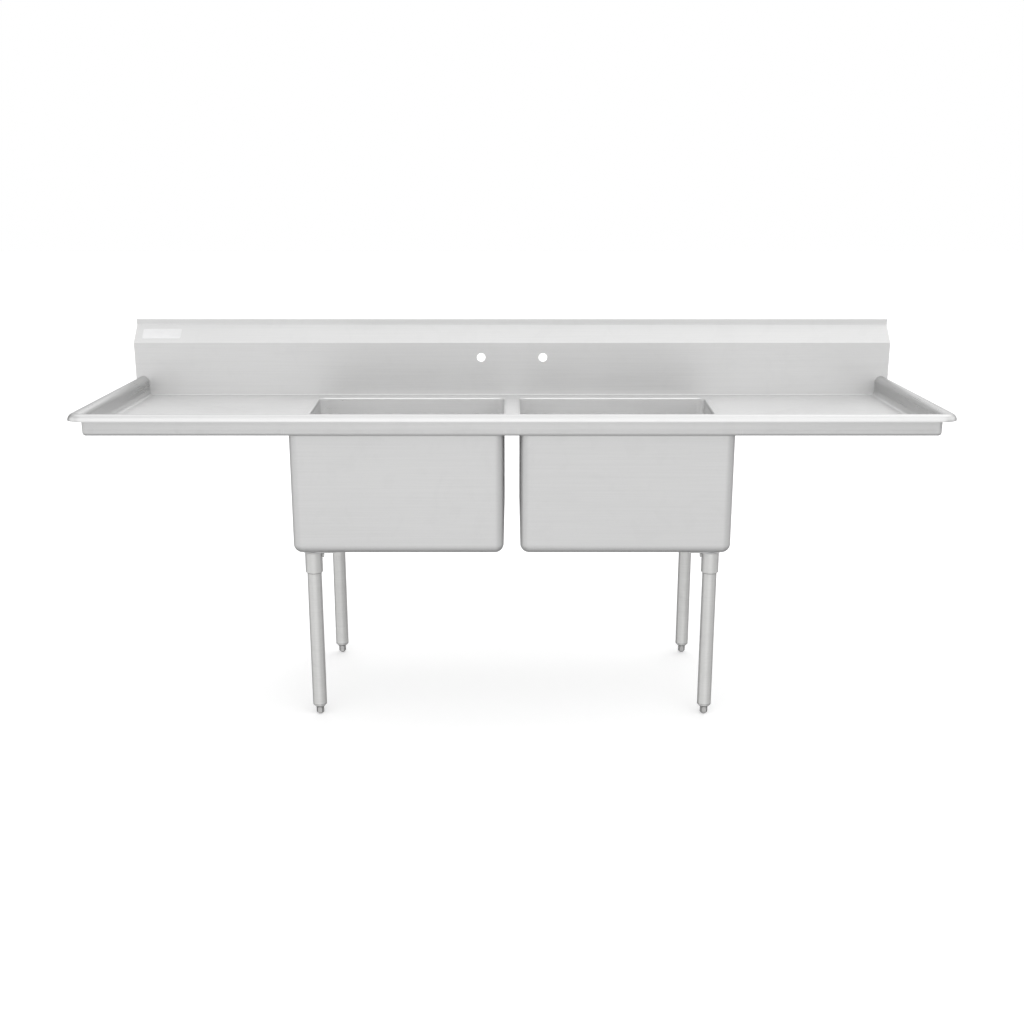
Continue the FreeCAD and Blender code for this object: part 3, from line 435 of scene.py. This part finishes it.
def turned_metal(name, colour, tone, roughness, metallic=0.85):
    """Machined on a lathe about Z: close tool lines, brighter and duller bands, light stains."""
    material, tree, shader = new_material(name)
    set_steel(shader, metallic)
    point = object_point(tree)
    tool_lines = noise(tree, point, (2, 2, 1400), 3, 0.6)
    bands = noise(tree, point, (8, 8, 180), 3)
    stains = smudges(tree, point)
    brightness = mixed(tree, tone, (tool_lines, 0.07), (bands, 0.06), (stains, -0.05))
    tree.links.new(coloured(tree, brightness, colour), shader.inputs["Base Color"])
    polish = mixed(tree, roughness, (tool_lines, 0.1), (bands, 0.1), (stains, 0.1))
    tree.links.new(polish, shader.inputs["Roughness"])
    raise_surface(tree, shader, (tool_lines, 0.02 * MM))
    return material


STRAW_TINT = (1, 0.985, 0.95, 1)
BLUE_GREY_TINT = (0.96, 0.97, 1, 1)
# Sockets of the colour Mix node, which has others of the same names.
MIX_COLOUR_A = 6
MIX_COLOUR_B = 7
MIX_COLOUR_RESULT = 2


def weld_metal(name):
    """Brushed weld bead: fine ripples, with straw and blue-grey heat marks left."""
    material, tree, shader = new_material(name)
    set_steel(shader, 0.8)
    point = object_point(tree)
    ripples = noise(tree, point, (500, 500, 500), 3)
    heat = noise(tree, point, (60, 60, 60), 2)
    brightness = mixed(tree, 0.62, (ripples, 0.12), (heat, -0.08))
    warmth = node(tree, "ShaderNodeMix", {
        "Factor": ramp(tree, heat, -0.5, 0.5),
        MIX_COLOUR_A: STRAW_TINT,
        MIX_COLOUR_B: BLUE_GREY_TINT,
    }, data_type="RGBA").outputs[MIX_COLOUR_RESULT]
    tree.links.new(coloured(tree, brightness, warmth), shader.inputs["Base Color"])
    tree.links.new(mixed(tree, 0.38, (ripples, 0.2), (heat, 0.1)), shader.inputs["Roughness"])
    raise_surface(tree, shader, (ripples, 0.05 * MM))
    return material


def polished_steel(name):
    """Drain parts: bright, with circles from the buffing wheel and dried water spots."""
    material, tree, shader = new_material(name)
    set_steel(shader, 0.95)
    point = object_point(tree)
    circles = drain_rings(tree, point)
    spots = ramp(tree, noise(tree, point, (130, 130, 130), 2), 0.2, 0.35)
    clouds = noise(tree, point, (25, 25, 25), 3)
    brightness = mixed(tree, 0.72, (circles, 0.05), (spots, -0.06), (clouds, 0.04))
    tree.links.new(coloured(tree, brightness, (1, 1, 0.995)), shader.inputs["Base Color"])
    polish = mixed(tree, 0.26, (circles, 0.1), (spots, 0.2), (clouds, 0.06))
    tree.links.new(polish, shader.inputs["Roughness"])
    raise_surface(tree, shader, (circles, 0.012 * MM), (spots, 0.01 * MM))
    return material


def black_rubber(name):
    """Matt moulded rubber with a bloom of dust."""
    material, tree, shader = new_material(name)
    point = object_point(tree)
    skin_grain = noise(tree, point, (900, 900, 900), 3)
    bloom = noise(tree, point, (30, 30, 30), 4)
    brightness = mixed(tree, 0.03, (skin_grain, 0.008), (bloom, 0.02))
    tree.links.new(coloured(tree, brightness, (1, 1, 1.02)), shader.inputs["Base Color"])
    tree.links.new(mixed(tree, 0.72, (bloom, 0.2)), shader.inputs["Roughness"])
    raise_surface(tree, shader, (skin_grain, 0.04 * MM))
    return material


def pressed_fibre(name):
    """Brown pressed board: short fibres laid every way."""
    material, tree, shader = new_material(name)
    point = object_point(tree)
    first = noise(tree, point, (120, 900, 900), 3, 0.6, 0.4, math.radians(30))
    second = noise(tree, point, (900, 120, 900), 3, 0.6, 0.4, math.radians(10))
    damp = noise(tree, point, (20, 20, 20), 3)
    brightness = mixed(tree, 0.42, (first, 0.14), (second, 0.14), (damp, -0.1))
    tree.links.new(coloured(tree, brightness, (1, 0.74, 0.48)), shader.inputs["Base Color"])
    tree.links.new(mixed(tree, 0.85, (first, 0.1)), shader.inputs["Roughness"])
    raise_surface(tree, shader, (first, 0.05 * MM), (second, 0.05 * MM))
    return material


def moulded_nylon(name):
    """Milky plastic, light showing a little way into it."""
    material, tree, shader = new_material(name)
    shader.inputs["Subsurface Weight"].default_value = 0.2
    shader.inputs["Subsurface Radius"].default_value = (0.002, 0.002, 0.0018)
    point = object_point(tree)
    flow = noise(tree, point, (60, 60, 200), 3, 0.5, 0.8)
    speckle = noise(tree, point, (1200, 1200, 1200), 2)
    brightness = mixed(tree, 0.8, (flow, 0.06), (speckle, 0.03))
    tree.links.new(coloured(tree, brightness, (1, 0.99, 0.95)), shader.inputs["Base Color"])
    tree.links.new(mixed(tree, 0.42, (flow, 0.12)), shader.inputs["Roughness"])
    raise_surface(tree, shader, (speckle, 0.015 * MM))
    return material


def label_vinyl(name):
    """Light satin plate with a fine brushed ground and no lettering."""
    material, tree, shader = new_material(name)
    point = object_point(tree)
    lines = noise(tree, point, (20, 900, 900), 3)
    clouds = noise(tree, point, (35, 35, 35), 3)
    brightness = mixed(tree, 0.71, (lines, 0.03), (clouds, 0.03))
    tree.links.new(coloured(tree, brightness, (1, 1, 1.005)), shader.inputs["Base Color"])
    tree.links.new(mixed(tree, 0.45, (lines, 0.1), (clouds, 0.1)), shader.inputs["Roughness"])
    raise_surface(tree, shader, (lines, 0.01 * MM))
    return material


# Mesh building: every piece is one or more skins through rings of points

CIRCLE_STEPS = 48


def skin(build, rings, loop=False):
    """Faces through rings of points. A loop's last ring joins its first, else the ends are shut."""
    rows = [[build.verts.new(point) for point in ring] for ring in rings]
    pairs = list(zip(rows, rows[1:]))
    if loop:
        pairs.append((rows[-1], rows[0]))
    else:
        build.faces.new(rows[0][::-1])
        build.faces.new(rows[-1])
    for low, high in pairs:
        for index, corner in enumerate(low):
            after = (index + 1) % len(low)
            build.faces.new((corner, low[after], high[after], high[index]))


def turned(build, profile, place, loop=False, steps=CIRCLE_STEPS):
    """Turns a profile about Z. A profile's point is (radius, z), or makes one from an angle."""
    rings = []
    for point in profile:
        ring = []
        for step in range(steps):
            angle = math.tau * step / steps
            radius, z = point(angle) if callable(point) else point
            ring.append(place @ Vector((radius * math.cos(angle), radius * math.sin(angle), z)))
        rings.append(ring)
    skin(build, rings, loop)


def add_piece(name, build, body, material, crease=35):
    """Makes an object of the skins, smooth except at edges sharper than the crease angle."""
    bmesh.ops.recalc_face_normals(build, faces=build.faces)
    mesh = bpy.data.meshes.new(name)
    build.to_mesh(mesh)
    build.free()
    mesh.polygons.foreach_set("use_smooth", [True] * len(mesh.polygons))
    mesh.set_sharp_from_angle(angle=math.radians(crease))
    mesh.materials.append(material)
    piece = bpy.data.objects.new(name, mesh)
    scene.collection.objects.link(piece)
    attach(piece, body)
    return piece


def centre(name):
    low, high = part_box(name)
    return (low + high) / 2


def hexagon(across_flats, z, slope=0.0, from_radius=0.0):
    """Profile point on a hexagon. Its height rises with the slope outside from_radius."""
    def point(angle):
        off_flat = angle % (math.tau / 6) - math.tau / 12
        radius = across_flats / 2 / math.cos(off_flat)
        return radius, z + slope * (radius - from_radius)
    return point


THREAD_ROWS = 6


def thread(radius, depth, pitch, low, high):
    """Profile points of a screw thread from low to high, its crests at the radius."""
    def row(z):
        def point(angle):
            phase = (z / pitch - angle / math.tau) % 1
            return radius - depth * abs(2 * phase - 1), z
        return point
    count = round((high - low) / pitch * THREAD_ROWS)
    return [row(low + (high - low) * index / count) for index in range(count + 1)]


BEAD_STEP = 0.5 * MM
BEAD_SIDES = 10
RIPPLE_PITCH = 2.2 * MM
RIPPLE = 0.16


def bead(build, path, radius, loop=False):
    """A weld bead along a level path of close points, rippled by its puddle, its ends tapered."""
    rings = []
    last = len(path) - 1
    for index, place in enumerate(path):
        before = path[index - 1] if loop or index else place
        after = path[(index + 1) % len(path)] if loop or index < last else place
        side = (after - before).normalized().cross(Vector((0, 0, 1)))
        ripple = abs(math.sin(math.pi * index * BEAD_STEP / RIPPLE_PITCH))
        thick = radius * (1 - RIPPLE * (1 - ripple))
        if not loop:
            from_middle = abs(2 * index / last - 1)
            thick *= math.sqrt(1.02 - from_middle ** 6)
        ring = []
        for step in range(BEAD_SIDES):
            angle = math.tau * step / BEAD_SIDES
            ring.append(place + thick * (side * math.cos(angle) + Vector((0, 0, math.sin(angle)))))
        rings.append(ring)
    skin(build, rings, loop)


def straight_path(start, end):
    steps = round((end - start).length / BEAD_STEP)
    return [start.lerp(end, index / steps) for index in range(steps + 1)]


def round_path(middle, radius):
    steps = round(math.tau * radius / BEAD_STEP)
    path = []
    for index in range(steps):
        angle = math.tau * index / steps
        path.append(middle + radius * Vector((math.cos(angle), math.sin(angle), 0)))
    return path


# Pieces

# How fast a hexagon's corners are bevelled away, at 30 degrees.
BEVEL_SLOPE = 0.577


def add_foot(leg):
    """Screw foot: a hexagon bevelled to its pad, a turned collar, and a threaded stem."""
    low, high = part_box(f"foot_{leg}")
    across = high.y - low.y
    pad = 6 * MM
    stem = 8 * MM
    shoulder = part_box(f"foot_insert_{leg}")[0].z - 0.4 * MM
    flat = across / 2
    profile = [
        (pad - 1.2 * MM, 0.0),
        (pad - 0.3 * MM, 0.25 * MM),
        (pad, 0.9 * MM),
        hexagon(across, 0.0, 1.0, pad),
        hexagon(across, shoulder - 2.4 * MM, -BEVEL_SLOPE, flat),
        (flat - 0.4 * MM, shoulder - 2.2 * MM),
        (flat - 0.6 * MM, shoulder - 0.3 * MM),
        (flat - 0.9 * MM, shoulder),
        (stem - 1.1 * MM, shoulder),
    ]
    profile += thread(stem, 0.75 * MM, 2 * MM, shoulder + 1.2 * MM, high.z - 1 * MM)
    profile.append((stem - 1.6 * MM, high.z))
    middle = (low + high) / 2
    build = bmesh.new()
    turned(build, profile, Matrix.Translation((middle.x, middle.y, 0)), steps=60)
    foot = add_piece(f"Foot_{leg}", build, f"foot_{leg}", finishes["foot_metal"], 30)
    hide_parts(f"foot_{leg}")


def add_set_screws():
    """Hexagon heads with a washer face and a bevel, one on each socket's inward side."""
    build = bmesh.new()
    across = 13 * MM
    flat = across / 2
    shank = 4 * MM
    screws_low, screws_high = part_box("leg_set_screws")
    for leg in LEGS:
        axis = centre(f"leg_{leg}")
        inward = 1 if axis.x < 0 else -1
        socket_low, socket_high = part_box(f"leg_socket_{leg}")
        face = (socket_high.x - socket_low.x) / 2 + 0.35 * MM
        top = face + 4.5 * MM
        z = (screws_low.z + screws_high.z) / 2
        profile = thread(shank, 0.4 * MM, 1.25 * MM, face - 4.5 * MM, face)
        profile += [
            (flat - 0.5 * MM, face),
            (flat - 0.3 * MM, face + 0.5 * MM),
            hexagon(across, face + 0.5 * MM, BEVEL_SLOPE, flat - 0.3 * MM),
            hexagon(across, top, -BEVEL_SLOPE, flat - 0.4 * MM),
            (flat - 0.4 * MM, top),
            (flat - 2.2 * MM, top),
            (flat - 2.7 * MM, top - 0.35 * MM),
        ]
        place = Matrix.Translation((axis.x, axis.y, z)) @ Matrix.Rotation(
            math.radians(90) * inward, 4, "Y")
        turned(build, profile, place)
    screws = add_piece("SetScrews", build, "sink", finishes["bolt_steel"], 25)
    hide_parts("leg_set_screws")


def add_socket_welds():
    """A bead round the top of each socket and short stitches along each gusset."""
    build = bmesh.new()
    stitch = 26 * MM
    sunk = 0.6 * MM
    # The ends of a gusset's cut corner from the leg's axis, and from there to a side's stitch.
    near = 37 * MM
    far = 67 * MM
    along = 28 * MM
    for leg in LEGS:
        low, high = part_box(f"leg_socket_{leg}")
        axis = (low + high) / 2
        radius = (high.x - low.x) / 2
        socket_top = Vector((axis.x, axis.y, high.z - sunk))
        bead(build, round_path(socket_top, radius), 2 * MM, True)

        low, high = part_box(f"leg_gusset_{leg}")
        middle = (low + high) / 2
        to_right = 1 if middle.x > axis.x else -1
        to_rear = 1 if middle.y > axis.y else -1
        corners = {
            "side": Vector((axis.x + to_right * far, axis.y + to_rear * near, high.z)),
            "end": Vector((axis.x + to_right * near, axis.y + to_rear * far, high.z)),
        }
        slant = (corners["end"] - corners["side"]).normalized()
        runs = [
            (corners["side"].lerp(corners["end"], 0.5), slant),
            (corners["side"] + Vector((0, -to_rear * along, 0)), Vector((0, 1, 0))),
            (corners["end"] + Vector((-to_right * along, 0, 0)), Vector((1, 0, 0))),
        ]
        for place, direction in runs:
            reach = direction * stitch / 2
            bead(build, straight_path(place - reach, place + reach), 1.7 * MM)
    add_piece("LegWelds", build, "sink", weld_metal("WeldBeads"), 60)


# How steeply a drainboard's channel falls to the bowl.
CHANNEL_SLOPE = math.radians(1.48)


def add_channel_welds():
    """Stitches along both edges of each drainboard's channel."""
    build = bmesh.new()
    stitches = 5
    length = 24 * MM
    sunk = 0.7 * MM
    for side in SIDES:
        low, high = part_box(f"{side}_drainboard_channel")
        width = high.x - low.x
        outward = 1 if side == "right" else -1
        rise = width * math.tan(CHANNEL_SLOPE)
        middle = (low + high) / 2
        for edge in (-1, 1):
            x = middle.x + edge * outward * width / 2
            z = high.z - sunk if edge == 1 else high.z - rise - sunk
            for index in range(stitches):
                y = low.y + (high.y - low.y) * (index + 0.5) / stitches
                start = Vector((x, y - length / 2, z))
                end = Vector((x, y + length / 2, z))
                bead(build, straight_path(start, end), 1.7 * MM)
    add_piece("ChannelWelds", build, "sink", bpy.data.materials["WeldBeads"], 60)


def add_drain_threads(side):
    """The threads on a drain body: a wide one for the locknut, a narrow one for the slip nut."""
    build = bmesh.new()
    spigot_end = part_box(f"drain_body_{side}")[0].z
    axis = centre(f"drain_body_{side}")
    place = Matrix.Translation((axis.x, axis.y, 0))
    locknut_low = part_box(f"drain_locknut_{side}")[0].z
    # Outer radii of the drain body's cup and of its spigot below, and the threads' own sizes.
    cup = 43.17 * MM
    spigot = 22.22 * MM
    wall = 0.8 * MM
    depth = 0.45 * MM
    pitch = 1.8 * MM
    runs = (
        (cup, locknut_low - 14 * MM, locknut_low + 9 * MM),
        (spigot, spigot_end + 0.5 * MM, spigot_end + 16 * MM),
    )
    for radius, start, end in runs:
        profile = thread(radius, depth, pitch, start, end)
        profile += [(radius - wall, end), (radius - wall, start)]
        turned(build, profile, place, loop=True, steps=72)
    add_piece(f"DrainThreads_{side}", build, "sink",
              finishes["polished_steel"], 25)


def rounded_rectangle(length, width, corner, z):
    """Ring of points round a rectangle with rounded corners, in the plane at z."""
    steps = 6
    ring = []
    for quarter, (side, end) in enumerate(((1, 1), (-1, 1), (-1, -1), (1, -1))):
        for step in range(steps + 1):
            angle = math.radians(90) * (quarter + step / steps)
            x = side * (length / 2 - corner) + corner * math.cos(angle)
            y = end * (width / 2 - corner) + corner * math.sin(angle)
            ring.append(Vector((x, y, z)))
    return ring


def add_label():
    """Blank plate with rounded corners and a raised border, flat on the splash's slant."""
    low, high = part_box("label_plate")
    slant = math.radians(45)
    thickness = 0.5 * MM
    length = high.x - low.x
    width = (high.z - low.z) / math.sin(slant) - thickness
    corner = 5 * MM
    # How far each ring lies in from the plate's edge, and its height over the plate's middle.
    levels = (
        (0.0, -thickness / 2),
        (0.0, thickness / 2 - 0.15 * MM),
        (0.15 * MM, thickness / 2),
        (1.6 * MM, thickness / 2),
        (1.9 * MM, thickness / 2 - 0.18 * MM),
    )
    place = Matrix.Translation((low + high) / 2) @ Matrix.Rotation(slant, 4, "X")
    rings = []
    for inset, z in levels:
        ring = rounded_rectangle(length - 2 * inset, width - 2 * inset, corner - inset, z)
        rings.append([place @ point for point in ring])
    build = bmesh.new()
    skin(build, rings)
    label = add_piece("BlankLabel", build, "sink", finishes["label_vinyl"], 40)
    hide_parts("label_plate")


# The scene

add_camera()
add_studio()
add_floor()
add_backdrop()

# Tone layers of the sheet: the ground strip a little lighter, the seam's joint line darker, and
# painted light that lightens every face turned up.
SHEET_TONES = (("ground", 0.02), ("joint", -0.07), ("painted_top_light", 0.12))
SEAM_POLISH = (("ground", -0.08),)
SEAM_RELIEF = (("joint", -0.06 * MM),)
WARM_WHITE = (1, 1, 0.985)
finishes = {
    "sheet_steel": brushed_sheet("DeckSteel", tones=SHEET_TONES, polish=SEAM_POLISH,
                                 relief=SEAM_RELIEF),
    "splash_steel": brushed_sheet("SplashSteel", "x", roughness=0.44, wear=0.5),
    # Inside the bowls the tone is raised as painted light against the shade in them, and the roughness
    # is lowered for a smoother finish.
    "bowl_steel": brushed_sheet("BowlSteel", wear=0.5, depth=0.005 * MM,
                                tones=SHEET_TONES + (("inside", 0.14),),
                                polish=SEAM_POLISH + (("inside", -0.14),), relief=SEAM_RELIEF),
    "rim_steel": brushed_sheet("RimSteel", "x", tone=0.65, roughness=0.32, wear=0.5,
                               metallic=0.8),
    "leg_tube": tube_steel("LegTube", WARM_WHITE, tone=0.69, roughness=0.38),
    "socket_steel": cast_metal("SocketSteel", WARM_WHITE, tone=0.68, roughness=0.4,
                               grit=0.02 * MM),
    "bolt_steel": turned_metal("BoltSteel", WARM_WHITE, tone=0.6, roughness=0.35),
    "insert_metal": turned_metal("InsertMetal", (1, 1, 0.99), tone=0.64, roughness=0.42,
                                 metallic=0.7),
    "foot_metal": turned_metal("FootMetal", (1, 0.995, 0.985), tone=0.51, roughness=0.38),
    "polished_steel": polished_steel("PolishedSteel"),
    "cast_nut": cast_metal("CastNut", (1, 0.96, 0.87), tone=0.56, roughness=0.36,
                           grit=0.05 * MM, metallic=0.9),
    "black_rubber": black_rubber("BlackRubber"),
    "fibre_washer": pressed_fibre("FibreWasher"),
    "white_plastic": moulded_nylon("WhiteNylon"),
    "label_vinyl": label_vinyl("LabelVinyl"),
}
side_rim_steel = brushed_sheet("SideRimSteel", "y", tone=0.66, roughness=0.3, wear=0.5,
                               metallic=0.92)
for name, part in nodes.items():
    finish = finishes[slot_of[name]]
    if name in ("left_rim", "right_rim"):
        finish = side_rim_steel
    part.data.materials.clear()
    part.data.materials.append(finish)

for leg in LEGS:
    add_foot(leg)
add_set_screws()
add_socket_welds()
add_channel_welds()
for side in SIDES:
    add_drain_threads(side)
add_label()
